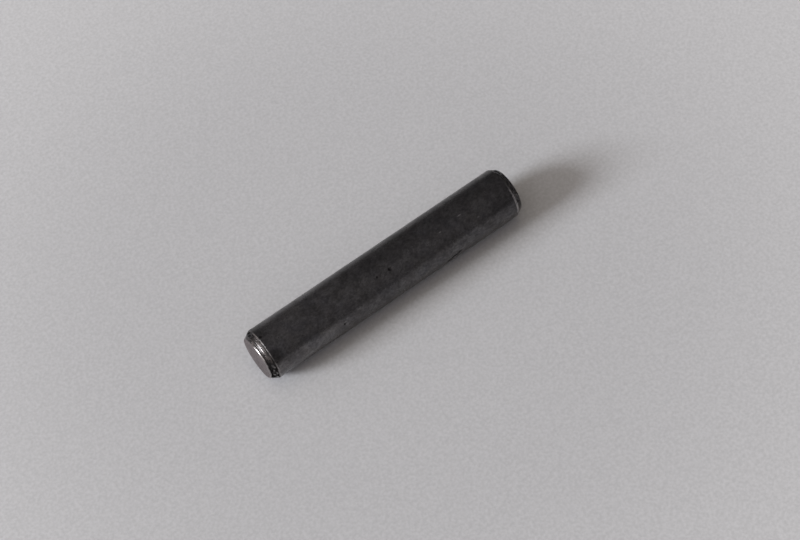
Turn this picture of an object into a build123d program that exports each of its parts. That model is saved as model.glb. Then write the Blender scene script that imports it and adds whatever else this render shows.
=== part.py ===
from build123d import *
import math
import os

# Clutch push rod: a plain hardened steel pin, turned and ground in one piece.
# It slides in a bore and carries thrust between its two flat end faces.
# The rod stands on its lower face, with its axis along +Z and the origin at the
# centre of that face. All sizes are in millimetres.

rod_diameter = 8.0          # the ground shank
rod_length = 44.8           # from face to face
upper_chamfer_length = 1.2  # measured along the axis
lower_chamfer_length = 1.0  # a little shorter than the upper one
chamfer_angle = 30.0        # between a chamfer and the axis, in degrees
rim_radius = 0.1            # rounds the corner between an end face and its chamfer
shoulder_radius = 0.12      # rounds the corner between a chamfer and the shank

shank_radius = rod_diameter / 2
chamfer_slope = math.tan(math.radians(chamfer_angle))
upper_face_radius = shank_radius - upper_chamfer_length * chamfer_slope
lower_face_radius = shank_radius - lower_chamfer_length * chamfer_slope

with BuildPart() as push_rod:
    with BuildSketch(Plane.XZ) as half_section:
        with BuildLine():
            Polyline(
                (0, 0),
                (lower_face_radius, 0),
                (shank_radius, lower_chamfer_length),
                (shank_radius, rod_length - upper_chamfer_length),
                (upper_face_radius, rod_length),
                (0, rod_length),
                close=True,
            )
        make_face()
        # The rims lie between the axis and the shank's radius, the shoulders on it.
        corners = half_section.vertices()
        rims = corners.filter_by_position(Axis.X, 0, shank_radius, inclusive=(False, False))
        fillet(rims, radius=rim_radius)
        shoulders = half_section.vertices().group_by(Axis.X)[-1]
        fillet(shoulders, radius=shoulder_radius)
    revolve(axis=Axis.Z)

push_rod.part.label = "push_rod"

os.makedirs("parts", exist_ok=True)
export_step(push_rod.part, "parts/push_rod.step")
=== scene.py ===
import bpy
import math
import numpy as np
from collections import namedtuple
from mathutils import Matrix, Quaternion, Vector


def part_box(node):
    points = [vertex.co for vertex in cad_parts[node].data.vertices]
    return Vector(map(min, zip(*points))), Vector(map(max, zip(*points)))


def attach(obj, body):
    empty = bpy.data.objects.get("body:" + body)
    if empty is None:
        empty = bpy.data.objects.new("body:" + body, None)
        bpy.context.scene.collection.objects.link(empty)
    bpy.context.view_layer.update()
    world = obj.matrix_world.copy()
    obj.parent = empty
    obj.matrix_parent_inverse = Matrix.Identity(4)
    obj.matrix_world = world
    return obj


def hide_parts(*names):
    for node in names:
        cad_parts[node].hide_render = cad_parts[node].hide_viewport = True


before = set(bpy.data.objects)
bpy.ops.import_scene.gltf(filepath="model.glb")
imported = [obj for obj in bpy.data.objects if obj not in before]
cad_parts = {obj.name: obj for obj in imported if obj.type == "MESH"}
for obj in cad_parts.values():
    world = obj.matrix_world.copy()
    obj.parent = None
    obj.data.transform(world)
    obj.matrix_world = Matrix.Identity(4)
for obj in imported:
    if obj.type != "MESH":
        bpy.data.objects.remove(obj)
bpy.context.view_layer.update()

# ---------------------------------------------------------------- sizes, in metres

MM = 0.001

rod_low, rod_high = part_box("push_rod")
SHANK_RADIUS = (rod_high[0] - rod_low[0]) / 2
ROD_LENGTH = rod_high[2] - rod_low[2]
ROD_MIDDLE = Vector((0, 0, ROD_LENGTH / 2))
CHAMFER_ANGLE = math.radians(30)
RIM_RADIUS = 0.1 * MM
SHOULDER_RADIUS = 0.12 * MM

# The two chamfers: each one's length along the axis, and the steps that the tool left round
# it, as (share of the way down from the rim, depth below the cone). The first step is the
# rim, which is worn to a narrow bevel.
Chamfer = namedtuple("Chamfer", "length steps")
UPPER = Chamfer(1.2 * MM, (
    (0.00, 0.026 * MM),
    (0.08, 0.000 * MM),
    (0.38, 0.008 * MM),
    (0.42, 0.026 * MM),
    (0.54, 0.000 * MM),
    (0.88, 0.004 * MM),
    (0.92, 0.010 * MM),
    (1.00, 0.000 * MM),
))
LOWER = Chamfer(1.0 * MM, (
    (0.00, 0.020 * MM),
    (0.10, 0.000 * MM),
    (0.84, 0.000 * MM),
    (0.90, 0.008 * MM),
    (1.00, 0.000 * MM),
))

# Dents in the shank: height up the rod and angle round it, then length along the rod,
# width round it, and depth.
Dent = namedtuple("Dent", "height angle length width depth")
DENTS = (
    Dent(22.5 * MM, -118, 0.44 * MM, 0.46 * MM, 0.060 * MM),
    Dent(24.7 * MM, -117, 0.34 * MM, 0.34 * MM, 0.025 * MM),
    Dent(31.4 * MM, -172, 0.42 * MM, 0.42 * MM, 0.030 * MM),
    Dent(32.1 * MM, -164, 0.28 * MM, 0.30 * MM, 0.020 * MM),
    Dent(13.5 * MM, 171, 1.50 * MM, 0.50 * MM, 0.040 * MM),
    Dent(12.6 * MM, 175, 1.50 * MM, 0.46 * MM, 0.045 * MM),
    Dent(11.8 * MM, 180, 0.90 * MM, 0.42 * MM, 0.045 * MM),
    Dent(43.3 * MM, -147, 0.24 * MM, 0.20 * MM, 0.020 * MM),
    Dent(43.3 * MM, -85, 0.36 * MM, 0.32 * MM, 0.030 * MM),
    Dent(43.4 * MM, -36, 0.55 * MM, 0.50 * MM, 0.060 * MM),
)

# How finely the mesh is divided: the points in one ring round the rod, the rings on each
# part of its outline, and the distance between the rings over a dent.
SEGMENTS = 256
FACE_RINGS = 13
RIM_RINGS = 12
CHAMFER_RINGS = 100
SHOULDER_RINGS = 5
SHANK_RINGS = 30
DENT_STEP = 0.07 * MM


# ---------------------------------------------------------------- objects


def add(name, data):
    thing = bpy.data.objects.new(name, data)
    bpy.context.scene.collection.objects.link(thing)
    return thing


def add_at(name, data, location, rotation):
    thing = add(name, data)
    thing.location = location
    thing.rotation_mode = "QUATERNION"
    thing.rotation_quaternion = rotation
    return thing


# ---------------------------------------------------------------- the rod's mesh


def face_radius(chamfer):
    return SHANK_RADIUS - chamfer.length * math.tan(CHAMFER_ANGLE)


def arc(centre, radius, start, end, rings):
    """The points of an arc after its first one; its angles are turns away from the axis."""
    turns = np.linspace(start, end, rings + 1)[1:]
    return [centre + radius * Vector((math.sin(turn), -math.cos(turn))) for turn in turns]


def end_profile(chamfer):
    """The outline of one end, from the axis to the shank, as (radius, depth below the face)."""
    along = Vector((math.sin(CHAMFER_ANGLE), math.cos(CHAMFER_ANGLE)))
    inwards = Vector((-along.y, along.x))
    rim_turn = math.pi / 2 - CHAMFER_ANGLE
    rim_reach = RIM_RADIUS * math.tan(rim_turn / 2)
    rim_centre = Vector((face_radius(chamfer) - rim_reach, RIM_RADIUS))
    shoulder_reach = SHOULDER_RADIUS * math.tan(CHAMFER_ANGLE / 2)
    shoulder_centre = Vector((SHANK_RADIUS - SHOULDER_RADIUS, chamfer.length + shoulder_reach))

    # The rings on the face lie closer together towards its rim.
    shares = np.sqrt(np.linspace(0, 1, FACE_RINGS + 1))
    points = [Vector((share * rim_centre.x, 0)) for share in shares]
    points += arc(rim_centre, RIM_RADIUS, 0, rim_turn, RIM_RINGS)
    start = points.pop()
    end = Vector((SHANK_RADIUS, chamfer.length)) - shoulder_reach * along
    for way in np.linspace(0, 1, CHAMFER_RINGS + 1):
        depth = float(np.interp(way, *zip(*chamfer.steps)))
        points.append(start.lerp(end, way) + depth * inwards)
    points += arc(shoulder_centre, SHOULDER_RADIUS, rim_turn, math.pi / 2, SHOULDER_RINGS)
    return points


def shank_heights(low, high):
    """Heights of the rings of points up the shank, which lie closer together at the dents."""
    heights = list(np.linspace(low, high, SHANK_RINGS + 2)[1:-1])

    # A dent's rings reach a little past its ends.
    for dent in DENTS:
        rings = math.ceil(dent.length / DENT_STEP)
        heights += list(dent.height + np.linspace(-0.6, 0.6, rings) * dent.length)
    heights = np.array(sorted(h for h in heights if low < h < high))

    # Rings that nearly meet the one below are left out.
    apart = np.diff(heights, prepend=low) > 0.2 * DENT_STEP
    return heights[apart]


def dent_depth(height, angles):
    """How deep the dents are round the rod at one height."""
    depth = np.zeros_like(angles)
    for dent in DENTS:
        up = (height - dent.height) / dent.length
        turn = (angles - math.radians(dent.angle) + math.pi) % (2 * math.pi) - math.pi
        across = turn * SHANK_RADIUS / dent.width
        depth = np.maximum(depth, dent.depth * np.clip(1 - 4 * (up**2 + across**2), 0, 1))
    return depth


def rod_mesh():
    lower = [(p.x, p.y) for p in end_profile(LOWER)]
    upper = [(p.x, ROD_LENGTH - p.y) for p in reversed(end_profile(UPPER))]
    shank = [(SHANK_RADIUS, z) for z in shank_heights(lower[-1][1], upper[0][1])]
    rings = lower[1:] + shank + upper[:-1]
    angles = np.linspace(0, 2 * math.pi, SEGMENTS, endpoint=False)
    verts = [(0, 0, 0)]
    for radius, z in rings:
        for angle, depth in zip(angles, dent_depth(z, angles)):
            r = radius - depth
            verts.append((r * math.cos(angle), r * math.sin(angle), z))
    verts.append((0, 0, ROD_LENGTH))
    last = 1 + (len(rings) - 1) * SEGMENTS
    faces = []
    for k in range(SEGMENTS):
        n = (k + 1) % SEGMENTS
        faces.append((0, 1 + n, 1 + k))
        for low in range(1, last, SEGMENTS):
            high = low + SEGMENTS
            faces.append((low + k, low + n, high + n, high + k))
        faces.append((last + k, last + n, len(verts) - 1))
    mesh = bpy.data.meshes.new("rod_body")
    mesh.from_pydata(verts, [], faces)
    mesh.shade_smooth()
    return mesh


rod = add("rod_body", rod_mesh())
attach(rod, "root")
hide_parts("push_rod")


# ---------------------------------------------------------------- shader nodes


class Recipe:
    """A material or world, and short ways to add the nodes that it is wired from."""

    def __init__(self, owner):
        owner.use_nodes = True
        self.owner = owner
        self.nodes = owner.node_tree.nodes
        self.links = owner.node_tree.links

    def feed(self, value, socket):
        """Wires a node's output to a socket, or gives the socket a constant."""
        if isinstance(value, bpy.types.NodeSocket):
            self.links.new(value, socket)
        else:
            socket.default_value = value

    # Numbers

    def math(self, operation, *values):
        node = self.nodes.new("ShaderNodeMath")
        node.operation = operation
        for value, socket in zip(values, node.inputs):
            self.feed(value, socket)
        return node.outputs[0]

    def chain(self, operation, values):
        """Joins the first two values, then the result and the third, and so on."""
        result = values[0]
        for value in values[1:]:
            result = self.math(operation, result, value)
        return result

    def plus(self, *values):
        return self.chain("ADD", values)

    def times(self, *values):
        return self.chain("MULTIPLY", values)

    def most(self, *values):
        return self.chain("MAXIMUM", values)

    def minus(self, value, other):
        return self.math("SUBTRACT", value, other)

    def step(self, value, low, high, at_low=0, at_high=1):
        """A soft step from at_low to at_high, as the value goes from low to high."""
        node = self.nodes.new("ShaderNodeMapRange")
        node.interpolation_type = "SMOOTHSTEP"
        self.feed(value, node.inputs["Value"])
        if low > high:
            low, high, at_low, at_high = high, low, at_high, at_low
        node.inputs["From Min"].default_value = low
        node.inputs["From Max"].default_value = high
        node.inputs["To Min"].default_value = at_low
        node.inputs["To Max"].default_value = at_high
        return node.outputs["Result"]

    def mix(self, factor, first, second, data_type, kind):
        node = self.nodes.new("ShaderNodeMix")
        node.data_type = data_type
        node.blend_type = kind
        for value, name in ((factor, "Factor"), (first, "A"), (second, "B")):
            self.feed(value, node.inputs[name])
        return node.outputs["Result"]

    def between(self, factor, first, second):
        """The first number where the factor is 0, and the second where it is 1."""
        return self.mix(factor, first, second, "FLOAT", "MIX")

    # Colours

    def blend(self, factor, first, second, kind="MIX"):
        return self.mix(factor, first, second, "RGBA", kind)

    def shade(self, colour, grey):
        """A colour, lighter or darker by a factor."""
        tone = self.nodes.new("ShaderNodeCombineColor")
        for socket in tone.inputs:
            self.feed(grey, socket)
        return self.blend(1, colour, tone.outputs[0], "MULTIPLY")

    # Points and directions

    def coordinates(self, kind):
        return self.nodes.new("ShaderNodeTexCoord").outputs[kind]

    def split(self, vector):
        node = self.nodes.new("ShaderNodeSeparateXYZ")
        self.links.new(vector, node.inputs[0])
        return node.outputs

    def stretch(self, where, scale, shift=(0, 0, 0)):
        node = self.nodes.new("ShaderNodeMapping")
        self.feed(where, node.inputs["Vector"])
        node.inputs["Scale"].default_value = scale
        node.inputs["Location"].default_value = shift
        return node.outputs[0]

    def compare(self, operation, vector, other):
        """A vector's distance to a constant one, or its dot product with it."""
        node = self.nodes.new("ShaderNodeVectorMath")
        node.operation = operation
        self.links.new(vector, node.inputs[0])
        node.inputs[1].default_value = other
        return node.outputs["Value"]

    # Patterns and relief

    def noise(self, where, scale, detail, roughness=0.5):
        node = self.nodes.new("ShaderNodeTexNoise")
        self.feed(where, node.inputs["Vector"])
        node.inputs["Scale"].default_value = scale
        node.inputs["Detail"].default_value = detail
        node.inputs["Roughness"].default_value = roughness
        return node.outputs[0]

    def spots(self, where, scale, size, chance):
        """Round spots of many sizes, in a share of the cells of a random lattice."""
        node = self.nodes.new("ShaderNodeTexVoronoi")
        self.feed(where, node.inputs["Vector"])
        node.inputs["Scale"].default_value = scale
        split = self.nodes.new("ShaderNodeSeparateColor")
        self.links.new(node.outputs["Color"], split.inputs[0])
        there = self.step(split.outputs[0], 1 - chance, 1 - 0.4 * chance)
        nearness = self.minus(self.times(there, size), node.outputs["Distance"])
        return self.step(nearness, 0, 0.4 * size)

    def bump(self, height, depth, normal=None):
        node = self.nodes.new("ShaderNodeBump")
        node.inputs["Distance"].default_value = depth
        self.feed(height, node.inputs["Height"])
        if normal is not None:
            self.feed(normal, node.inputs["Normal"])
        return node.outputs[0]


# ---------------------------------------------------------------- the steel's looks

# Colours of the steel, as it reflects: the dark skin that hardening left, its stains, and
# the bare metal where it is rubbed through. The sheen is what tints the end faces at a low
# angle, and elsewhere it is white.
WHITE = (1, 1, 1, 1)
DARK_SKIN = (0.090, 0.086, 0.088, 1)
BROWN_STAIN = (0.084, 0.077, 0.073, 1)
BLUE_STAIN = (0.084, 0.084, 0.093, 1)
RUBBED_SKIN = (0.112, 0.108, 0.109, 1)
# The black of scars, specks, pits and dirt, and also of painted shade.
BLACK_SPOT = (0.012, 0.011, 0.011, 1)
CHAMFER_SKIN = (0.036, 0.035, 0.036, 1)
CHAMFER_RUBBED = (0.118, 0.110, 0.108, 1)
FACE_STEEL = (0.112, 0.103, 0.103, 1)
FACE_STAIN = (0.072, 0.066, 0.066, 1)
FACE_SHEEN = (1.000, 0.930, 0.927, 1)
BARE_STEEL = (0.36, 0.345, 0.342, 1)

# From here on, lengths in the steel's recipe are in millimetres, apart from the depth of its
# relief, which is in metres, and angles are in degrees. A rise is a height above the shoulder
# of a chamfer, towards its rim.

# How far bright wear reaches to both sides of an edge, and how far below the face a rim's
# wear has its middle.
EDGE_WEAR = 0.09
RIM_WEAR_DEPTH = 0.02

# A dull ridge on the upper chamfer: the rise of its middle, and how far it reaches to both
# sides, with a soft edge from the inner to the outer reach.
RIDGE_RISE = 0.62
RIDGE_INNER = 0.06
RIDGE_OUTER = 0.12

# Black rings round the chamfers, each with the rise of its middle and its width. The first is
# painted shade, mostly between the two highlight lines of the upper chamfer; the second is
# dirt.
GRIME_AND_SHADE_RINGS = ((0.90, 0.21), (0.15, 0.14))
# How dark the dirt and the painted shade are.
GRIME_AND_SHADE_STRENGTH = 0.85

# Dark patches at the ends: the angle that each one lies at and how far it reaches to both
# sides, the rise where it starts and the one where it ends, the share of it that is black,
# and whether it is on the upper end. All are dirt but the last, which is painted shade over
# the highlight on the upper shoulder. Flecks of bare steel show through one of them.
Patch = namedtuple("Patch", "angle reach start end share is_upper")
FLECKED_PATCH = Patch(-178, 27, 0.0, 1.1, 0.5, True)
PATCHES = (
    Patch(-60, 27, 0.15, 0.75, 0.6, True),
    FLECKED_PATCH,
    Patch(-58, 27, 0.0, 0.9, 0.5, False),
    Patch(-145, 22, 0.2, 1.1, 0.3, False),
    # Painted shade: black blots that dim the highlight on the upper shoulder.
    Patch(-107, 9, -0.1, 0.1, 0.4, True),
)

# How far a patch fades out to both sides of its edge: round the rod, and along it.
PATCH_FADE_ANGLE = 7
PATCH_FADE_RISE = 0.08

# Bright scratches and dark scars in the skin: height and angle, then length and width, and
# how strongly each one shows.
Mark = namedtuple("Mark", "height angle length width strength")
SCRATCHES = (
    Mark(9.5, -106, 0.80, 0.18, 0.6),
    Mark(13.3, -113, 0.42, 0.18, 0.6),
    Mark(7.2, -131, 0.44, 0.20, 0.6),
    Mark(31.9, -160, 0.60, 0.15, 0.6),
    Mark(31.9, -167, 0.50, 0.15, 0.6),
)
SCARS = (
    Mark(22.5, -118, 0.60, 0.58, 0.8),
    Mark(24.7, -117, 0.38, 0.38, 0.8),
    Mark(31.4, -172, 0.20, 0.20, 0.5),
    Mark(32.1, -164, 0.30, 0.30, 0.8),
    Mark(43.3, -147, 0.24, 0.20, 0.8),
    Mark(43.25, -84, 0.46, 0.44, 0.8),
    Mark(43.4, -36, 0.55, 0.50, 0.7),
    Mark(13.5, 171, 1.50, 0.50, 0.6),
    Mark(12.6, 175, 1.50, 0.46, 0.6),
    Mark(11.8, 180, 0.90, 0.42, 0.6),
)

# Areas of the shank made lighter or darker by an amount. The lighter one near the top is a
# painted reflection of the sheet, and the first darker one is painted shade that dims the
# reflection on its side towards the foot; the other two are only darker. Each one fades in as
# the side turns towards its angle (1 is all the way), and as the height goes from the first
# value to the second. The ring at the top does the opposite with its angle, which leaves a
# gap there, and it goes only halfway round the rod.
Area = namedtuple("Area", "angle turn_none turn_full height_none height_full amount")
PAINTED_REFLECTION_TOP = Area(-172, 0.90, 0.98, 26, 38, 0.32)
PAINTED_SHADE_BACK = Area(-55, 0.4, 0.95, 34, 24, 0.32)
DARKER_FOOT = Area(-125, 0.85, 0.97, 8, 3, 0.24)
DARKER_RING = Area(-104, 0.985, 0.94, 41.5, 43, 0.40)

# Where things lie on the rod: the point, its distance from the axis, its depth below the
# nearer face, its rise above the nearer shoulder, and masks of the upper half, of the
# shank, of the flat faces, and of everything but the chamfers.
Place = namedtuple("Place", "point radius depth rise upper on_shank on_face off_chamfer")


def distance(r, across, down):
    return r.math("SQRT", r.plus(r.times(across, across), r.times(down, down)))


def places(r):
    in_mm = r.nodes.new("ShaderNodeVectorMath")
    in_mm.operation = "SCALE"
    in_mm.inputs["Scale"].default_value = 1 / MM
    r.links.new(r.coordinates("Object"), in_mm.inputs[0])
    point = in_mm.outputs[0]
    x, y, z = r.split(point)
    length = ROD_LENGTH / MM
    depth = r.math("MINIMUM", z, r.minus(length, z))
    upper = r.step(z, length / 2 - 1, length / 2 + 1)
    rise = r.minus(r.between(upper, LOWER.length / MM, UPPER.length / MM), depth)
    on_shank = r.step(rise, 0.05, -0.02)
    on_face = r.step(depth, 0.04, 0.01)
    return Place(
        point=point,
        radius=distance(r, x, y),
        depth=depth,
        rise=rise,
        upper=upper,
        on_shank=on_shank,
        on_face=on_face,
        off_chamfer=r.most(on_shank, on_face),
    )


def facing(r, place, angle):
    """How far the rod's side turns towards an angle round it, from -1 to 1."""
    turn = math.radians(angle)
    along = r.compare("DOT_PRODUCT", place.point, (math.cos(turn), math.sin(turn), 0))
    return r.math("DIVIDE", along, r.most(place.radius, 0.1))


def edge_wear(r, place, ragged, smears):
    """Bright metal along the rims and shoulders, with a ragged edge, most of it on one side."""
    reach = r.step(ragged, 0.3, 0.7, 0.6 * EDGE_WEAR, 1.3 * EDGE_WEAR)
    side = facing(r, place, 180)

    rim_radius = r.between(place.upper, face_radius(LOWER) / MM, face_radius(UPPER) / MM)
    across = r.minus(place.radius, rim_radius)
    off_rim = distance(r, across, r.minus(place.depth, RIM_WEAR_DEPTH))
    rim_reach = r.times(reach, r.step(side, 0.2, 0.6, 0.75, 1.5))
    rim = r.times(
        r.step(r.minus(off_rim, rim_reach), 0.03, -0.02),
        r.step(side, -0.06, 0.04, 0.35, 1),
        r.between(place.upper, 0.15, 1),
    )

    off_shoulder = distance(r, r.minus(place.radius, SHANK_RADIUS / MM), place.rise)
    lower_width = r.step(side, 0.3, 0.95, 0.9, 2.0)
    upper_width = r.step(side, 0.9, 0.98, 0.7, 1.5)
    shoulder_reach = r.times(reach, r.between(place.upper, lower_width, upper_width))
    lower_worn = r.step(side, 0.1, 0.8, 0.06, 1)
    upper_worn = r.plus(r.step(side, 0.25, 0.5, 0.04, 0.16), r.step(side, 0.80, 0.97, 0, 0.64))
    shoulder = r.times(
        r.step(r.minus(off_shoulder, shoulder_reach), 0.04, 0.0),
        r.between(place.upper, lower_worn, upper_worn),
        r.step(smears, 0.35, 0.6, 0.5, 1.1),
    )
    return r.most(rim, shoulder)


def marks(r, place, fine, list_of_marks):
    """A mask of oval marks in the shank's skin, with ragged edges."""
    mask = 0
    ragged = r.minus(fine, 0.5)
    shank = SHANK_RADIUS / MM
    for mark in list_of_marks:
        turn = math.radians(mark.angle)
        middle = Vector((shank * math.cos(turn), shank * math.sin(turn), mark.height))
        squeeze = (1, 1, mark.width / mark.length)
        point = r.stretch(place.point, squeeze)
        off = r.compare("DISTANCE", point, middle * Vector(squeeze))
        off = r.plus(off, r.times(ragged, 0.7 * mark.width))
        shown = r.step(off, 0.6 * mark.width, 0.3 * mark.width, 0, mark.strength)
        mask = r.most(mask, shown)
    return mask


def in_patch(r, place, patch):
    """A mask of one patch on a chamfer, with soft edges."""
    outer = math.radians(patch.reach + PATCH_FADE_ANGLE)
    inner = math.radians(patch.reach - PATCH_FADE_ANGLE)
    fade = PATCH_FADE_RISE
    return r.times(
        r.step(facing(r, place, patch.angle), math.cos(outer), math.cos(inner)),
        r.step(place.rise, patch.end + fade, patch.end - fade),
        r.step(place.rise, patch.start - fade, patch.start + fade),
        place.upper if patch.is_upper else r.minus(1, place.upper),
    )


def grime_and_painted_shade(r, place, ragged, smears):
    """Black rings, faint on the lower chamfer and on one side, and blots in patches: dirt, with
    painted shade in one ring and one patch.
    """
    rings = 0
    for rise, width in GRIME_AND_SHADE_RINGS:
        off = r.math("ABSOLUTE", r.minus(place.rise, rise))
        off = r.plus(off, r.times(ragged, width))
        rings = r.most(rings, r.step(off, 1.3 * width, 0.6 * width))
    dirt_and_shade = r.times(
        rings,
        r.minus(0.8, place.on_shank),
        r.between(place.upper, 0.2, 1),
        r.step(facing(r, place, -40), 0.66, 0.84, 1, 0.2),
    )

    # The larger a patch's share, the more of the smears are strong enough to be a blot.
    for patch in PATCHES:
        start = 0.65 - 0.35 * patch.share
        blots = r.step(smears, start, start + 0.08)
        dirt_and_shade = r.most(dirt_and_shade, r.times(in_patch(r, place, patch), blots))
    return r.times(dirt_and_shade, GRIME_AND_SHADE_STRENGTH)


def change(r, place, area):
    """How much lighter or darker the skin is in one area."""
    height = r.split(place.point)[2]
    turned = r.step(facing(r, place, area.angle), area.turn_none, area.turn_full)
    return r.times(turned, r.step(height, area.height_none, area.height_full, 0, area.amount))


def tone_by_area(r, place):
    """The factor by which areas of the shank are lighter or darker, a painted reflection and
    painted shade among them.
    """
    ring_side = r.step(facing(r, place, -60), -0.1, 0.1)
    darker = r.most(
        change(r, place, PAINTED_SHADE_BACK),
        change(r, place, DARKER_FOOT),
        r.times(change(r, place, DARKER_RING), ring_side),
    )
    return r.minus(r.plus(1, change(r, place, PAINTED_REFLECTION_TOP)), darker)


def skin_colour(r, place, clouds, mottle, fine):
    """The shank's dark skin, clouded, faintly tinted and mottled, and lighter or darker in
    areas, with a painted reflection and painted shade among them.
    """
    tint = r.noise(r.stretch(place.point, (1, 1, 1), (17, 5, 9)), 0.5, detail=2)
    skin = r.blend(r.step(clouds, 0.36, 0.66), DARK_SKIN, RUBBED_SKIN)
    skin = r.blend(r.step(tint, 0.50, 0.72, 0, 0.35), skin, BLUE_STAIN)
    skin = r.blend(r.step(tint, 0.48, 0.28, 0, 0.35), skin, BROWN_STAIN)
    coarse_grey = r.step(mottle, 0.25, 0.75, 0.68, 1.32)
    fine_grey = r.step(fine, 0.25, 0.75, 0.74, 1.26)
    return r.shade(r.shade(skin, r.times(coarse_grey, fine_grey)), tone_by_area(r, place))


def chamfer_colour(r, place, turned, smears):
    """Skin rubbed off in rings and smears; the upper chamfer is sooty on one side and lighter
    on another.
    """
    rubbed = r.plus(r.times(turned, 0.4), r.times(smears, 0.6))
    colour = r.blend(r.step(rubbed, 0.42, 0.60), CHAMFER_SKIN, CHAMFER_RUBBED)
    sooty = r.times(r.step(facing(r, place, 180), 0.55, 0.8, 0, 0.5), place.upper)
    lighter_side = r.times(r.step(facing(r, place, -56), 0.75, 0.95, 0, 0.7), place.upper)
    return r.shade(colour, r.minus(r.plus(1, lighter_side), sooty))


def face_colour(r, place, fine):
    """The end faces' grey steel, stained in clouds and finely mottled."""
    where = r.stretch(place.point, (1.1, 1.1, 1.1), (3, 8, 2))
    stained = r.noise(where, 1, detail=4, roughness=0.65)
    colour = r.blend(r.step(stained, 0.40, 0.62), FACE_STEEL, FACE_STAIN)
    return r.shade(colour, r.step(fine, 0.3, 0.7, 0.72, 1.28))


def specks_and_pits(r, place):
    """Small dark spots: specks all over, but fainter on the faces, and pits on the chamfers."""
    specks = r.spots(r.stretch(place.point, (1, 1, 1), (4, 1, 7)), 1.4, 0.16, 0.30)
    specks = r.times(specks, r.between(place.on_face, 0.5, 0.15))
    pits = r.spots(place.point, 2.2, 0.30, 0.45)
    pits = r.times(pits, r.minus(0.8, place.off_chamfer), r.between(place.upper, 0.4, 1))
    return r.most(specks, pits)


def steel_roughness(r, place, clouds, mottle, worn, dark):
    """Rubbed skin and the chamfers are smoother; faces, worn edges, ridge, dirt and painted
    shade duller.
    """
    off_ridge = r.math("ABSOLUTE", r.minus(place.rise, RIDGE_RISE))
    ridge = r.times(r.step(off_ridge, RIDGE_OUTER, RIDGE_INNER), place.upper)
    return r.plus(
        r.step(clouds, 0.3, 0.7, 0.33, 0.25),
        r.step(mottle, 0.3, 0.7, 0.03, -0.03),
        r.step(place.rise, 0.08, 0.22, 0, -0.12),
        r.times(place.on_face, 0.09),
        r.times(worn, 0.12),
        r.times(ridge, 0.08),
        r.times(dark, 0.25),
    )


def steel_relief(r, place, turned, mottle, fine, dark):
    """Grinding lines round the shank, turned rings on the ends, waviness, and pits and other
    dark places sunk a little, painted shade among them.
    """
    where = r.stretch(place.point, (0.25, 0.25, 9))
    ground = r.noise(where, 1, detail=3, roughness=0.7)
    waves = r.times(mottle, r.step(place.rise, 0, 0.2, 1, 0.2))
    face_rings = r.times(r.noise(place.radius, 7, detail=3), place.on_face)
    chamfer_rings = r.times(turned, r.minus(1, place.off_chamfer))
    normal = r.bump(ground, 0.0006 * MM)
    normal = r.bump(waves, 0.006 * MM, normal)
    normal = r.bump(fine, 0.003 * MM, normal)
    normal = r.bump(face_rings, 0.009 * MM, normal)
    normal = r.bump(chamfer_rings, 0.0025 * MM, normal)
    return r.bump(dark, -0.02 * MM, normal)


def steel():
    """Dark hardened steel, ground on the shank and turned on the ends, with worn edges."""
    r = Recipe(bpy.data.materials.new("dark_steel"))
    place = places(r)

    # Patterns, each used in several ways. The last one varies in rings up the rod.
    clouds = r.noise(place.point, 0.34, detail=4, roughness=0.62)
    mottle = r.noise(place.point, 0.9, detail=5, roughness=0.72)
    ragged = r.noise(place.point, 2.6, detail=3, roughness=0.6)
    where = r.stretch(place.point, (3.4, 3.4, 2.6), (6, 2, 8))
    fine = r.noise(where, 1, detail=3, roughness=0.65)
    where = r.stretch(place.point, (1.7, 1.7, 3.6), (2, 9, 4))
    smears = r.noise(where, 1, detail=3)
    where = r.stretch(place.point, (0.5, 0.5, 9), (5, 3, 1))
    turned = r.noise(where, 1, detail=3, roughness=0.6)

    # Bright places: worn edges, scratches, and flecks in one of the patches.
    worn = edge_wear(r, place, ragged, smears)
    scratched = r.times(marks(r, place, fine, SCRATCHES), r.step(fine, 0.40, 0.56, 0.4, 1))
    flecks = r.times(in_patch(r, place, FLECKED_PATCH), r.step(smears, 0.45, 0.39, 0, 0.5))
    bright = r.most(worn, scratched, flecks)

    # Dark places: scars, specks, pits, dirt, and painted shade in one ring and one patch.
    scars = marks(r, place, fine, SCARS)
    dark = r.most(scars, specks_and_pits(r, place), grime_and_painted_shade(r, place, ragged, smears))

    # Colour: the surfaces, then what lies over them.
    skin = skin_colour(r, place, clouds, mottle, fine)
    colour = r.blend(place.on_shank, chamfer_colour(r, place, turned, smears), skin)
    colour = r.blend(place.on_face, colour, face_colour(r, place, fine))
    colour = r.blend(bright, colour, BARE_STEEL)
    colour = r.blend(dark, colour, BLACK_SPOT)
    sheen = r.blend(place.on_face, WHITE, FACE_SHEEN)
    sheen = r.blend(dark, sheen, BLACK_SPOT)

    bsdf = r.nodes["Principled BSDF"]
    bsdf.inputs["Metallic"].default_value = 1
    r.feed(colour, bsdf.inputs["Base Color"])
    r.feed(sheen, bsdf.inputs["Specular Tint"])
    r.feed(steel_roughness(r, place, clouds, mottle, worn, dark), bsdf.inputs["Roughness"])
    r.feed(steel_relief(r, place, turned, mottle, fine, dark), bsdf.inputs["Normal"])
    return r.owner


rod.data.materials.append(steel())


# ---------------------------------------------------------------- stage

# Painted light: the sheet's colour gets lighter with the distance from where the rod's middle
# touches it, from the start of the painted light to its end.
SHEET_COLOUR = (0.412, 0.417, 0.440, 1)
SHEET_PAINTED_LIGHT_COLOUR = (0.492, 0.498, 0.522, 1)
SHEET_PAINTED_LIGHT_START = 30 * MM
SHEET_PAINTED_LIGHT_END = 90 * MM
SHEET_GRAIN = 0.09
SHEET_GRAIN_SCALE = 2.2 / MM
SHEET_SIZE = 1.2
SHEET_GAP = 0.01 * MM


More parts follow.
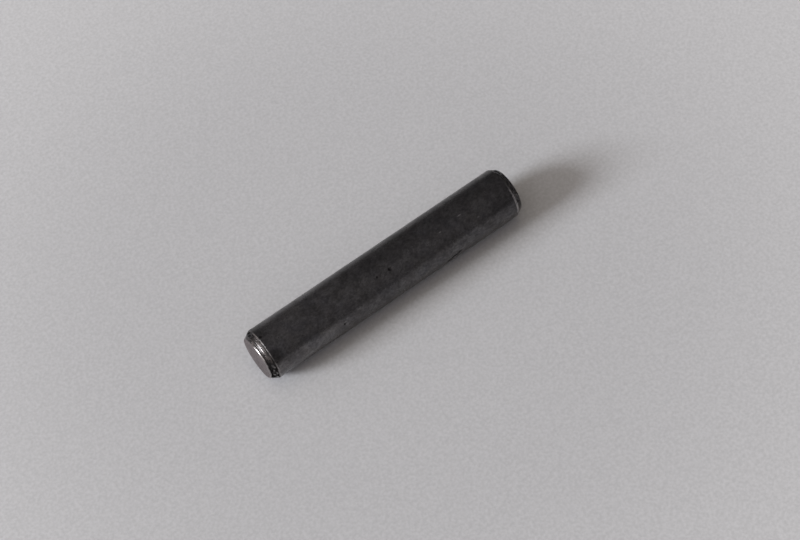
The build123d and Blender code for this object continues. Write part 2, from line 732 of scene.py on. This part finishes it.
def sheet_material():
    """Matt paper that shows only its front, with painted light that makes it lighter away from
    the rod.
    """
    r = Recipe(bpy.data.materials.new("pale_sheet"))
    point = r.coordinates("Object")
    touch = ROD_MIDDLE + Vector((0, SHANK_RADIUS, 0))
    painted_light_share = r.step(r.compare("DISTANCE", point, touch), SHEET_PAINTED_LIGHT_START, SHEET_PAINTED_LIGHT_END)
    colour = r.blend(painted_light_share, SHEET_COLOUR, SHEET_PAINTED_LIGHT_COLOUR)
    grain = r.noise(point, SHEET_GRAIN_SCALE, detail=3, roughness=0.6)
    colour = r.shade(colour, r.step(grain, 0.2, 0.8, 1 - SHEET_GRAIN, 1 + SHEET_GRAIN))
    bsdf = r.nodes["Principled BSDF"]
    r.feed(colour, bsdf.inputs["Base Color"])
    bsdf.inputs["Roughness"].default_value = 0.9
    bsdf.inputs["Specular IOR Level"].default_value = 0
    side = r.nodes.new("ShaderNodeNewGeometry")
    clear = r.nodes.new("ShaderNodeBsdfTransparent")
    mix = r.nodes.new("ShaderNodeMixShader")
    r.links.new(side.outputs["Backfacing"], mix.inputs["Fac"])
    r.links.new(bsdf.outputs[0], mix.inputs[1])
    r.links.new(clear.outputs[0], mix.inputs[2])
    r.links.new(mix.outputs[0], r.nodes["Material Output"].inputs["Surface"])
    return r.owner


def make_sheet():
    """The sheet that the rod's side touches, upright because the rod stands on its end."""
    half = SHEET_SIZE / 2
    y = SHANK_RADIUS + SHEET_GAP
    low, high = ROD_LENGTH / 2 - half, ROD_LENGTH / 2 + half
    mesh = bpy.data.meshes.new("sheet")
    corners = [(-half, y, low), (half, y, low), (half, y, high), (-half, y, high)]
    mesh.from_pydata(corners, [], [(0, 1, 2, 3)])
    mesh.materials.append(sheet_material())
    add("sheet", mesh)


make_sheet()


# ---------------------------------------------------------------- light

# The key light is a window. Its direction is given by the angle above the sheet and the turn
# away from the rod's axis, and its height and width by the angles that they take up.
KEY_ELEVATION = math.radians(24.5)
KEY_SIDE = math.radians(10.3)
KEY_HEIGHT = math.radians(16)
KEY_WIDTH = math.radians(18)
KEY_DISTANCE = 4
KEY_POWER = 218.0
KEY_COLOUR = (0.97, 0.985, 1.0)

FILL_DISTANCE = 3
FILL_SIZE = 3
FILL_POWER = 12.5
FILL_COLOUR = (1.0, 0.80, 0.42)

# The room's light: the walls', which goes over into the ceiling's in front of the sheet, and
# then what each side adds to it, or for the far side, what it is multiplied by.
ROOM_WALLS = (0.17, 0.163, 0.166, 1)
ROOM_CEILING = (0.42, 0.403, 0.41, 1)
ROOM_RIGHT_SIDE = (0.14, 0.134, 0.136, 1)
ROOM_FAR_SIDE = (0.36, 0.36, 0.36, 1)
ROOM_BELOW = (0.125, 0.118, 0.118, 1)
ROOM_WINDOW_SIDE = (0.75, 0.68, 0.65, 1)
CEILING_AZIMUTH = math.radians(-18)


def make_key():
    towards = Vector((
        math.cos(KEY_ELEVATION) * math.sin(KEY_SIDE),
        -math.sin(KEY_ELEVATION),
        math.cos(KEY_ELEVATION) * math.cos(KEY_SIDE),
    ))
    data = bpy.data.lights.new("key", "AREA")
    data.shape = "RECTANGLE"
    data.size = 2 * KEY_DISTANCE * math.tan(KEY_WIDTH / 2)
    data.size_y = 2 * KEY_DISTANCE * math.tan(KEY_HEIGHT / 2)
    data.energy = KEY_POWER
    data.color = KEY_COLOUR
    rotation = (-towards).to_track_quat("-Z", "Y")
    add_at("key", data, ROD_MIDDLE + towards * KEY_DISTANCE, rotation)


def make_fill():
    """Warm light that comes back from the room to the sheet and is too faint for the steel."""
    data = bpy.data.lights.new("fill", "AREA")
    data.shape = "SQUARE"
    data.size = FILL_SIZE
    data.energy = FILL_POWER
    data.color = FILL_COLOUR
    rotation = Vector((0, 1, 0)).to_track_quat("-Z", "Z")
    fill = add_at("fill", data, (0, -FILL_DISTANCE, ROD_LENGTH / 2), rotation)
    fill.visible_glossy = False


def make_room():
    """A dim room: lighter in front of the sheet and near the window, and darker opposite it."""
    world = bpy.data.worlds.new("room")
    r = Recipe(world)
    direction = r.coordinates("Generated")
    x, _, z = r.split(direction)
    ceiling = (math.sin(CEILING_AZIMUTH), -math.cos(CEILING_AZIMUTH), 0)
    overhead = r.most(r.compare("DOT_PRODUCT", direction, ceiling), 0)
    light = r.blend(overhead, ROOM_WALLS, ROOM_CEILING)
    light = r.blend(r.step(x, 0.2, 0.9), light, ROOM_RIGHT_SIDE, "ADD")
    light = r.blend(r.step(z, 0.25, -0.75), light, ROOM_FAR_SIDE, "MULTIPLY")
    light = r.blend(r.step(z, -0.8, -0.97), light, ROOM_BELOW, "ADD")
    light = r.blend(r.step(z, 0.1, 0.85), light, ROOM_WINDOW_SIDE, "ADD")
    r.feed(light, r.nodes["Background"].inputs["Color"])
    bpy.context.scene.world = world


make_key()
make_fill()
make_room()
bpy.context.scene.view_settings.view_transform = "Standard"


# ---------------------------------------------------------------- camera

# The camera was fitted to the photo: the point that it aims at, its direction and distance
# from there, and its roll.
LENS = 88.6
CAMERA_AZIMUTH = math.radians(-27.79)
CAMERA_ELEVATION = math.radians(14.62)
CAMERA_ROLL = math.radians(-124.11)
CAMERA_DISTANCE = 284.1 * MM
AIM = Vector((-0.823, 0.442, 20.292)) * MM


def make_camera():
    data = bpy.data.cameras.new("camera")
    data.lens = LENS
    data.clip_start = 0.01
    back = Vector((
        math.sin(CAMERA_AZIMUTH) * math.cos(CAMERA_ELEVATION),
        -math.cos(CAMERA_AZIMUTH) * math.cos(CAMERA_ELEVATION),
        math.sin(CAMERA_ELEVATION),
    ))
    level = (-back).to_track_quat("-Z", "Y")
    rotation = level @ Quaternion((0, 0, 1), CAMERA_ROLL)
    camera = add_at("camera", data, AIM + back * CAMERA_DISTANCE, rotation)
    bpy.context.scene.camera = camera


make_camera()
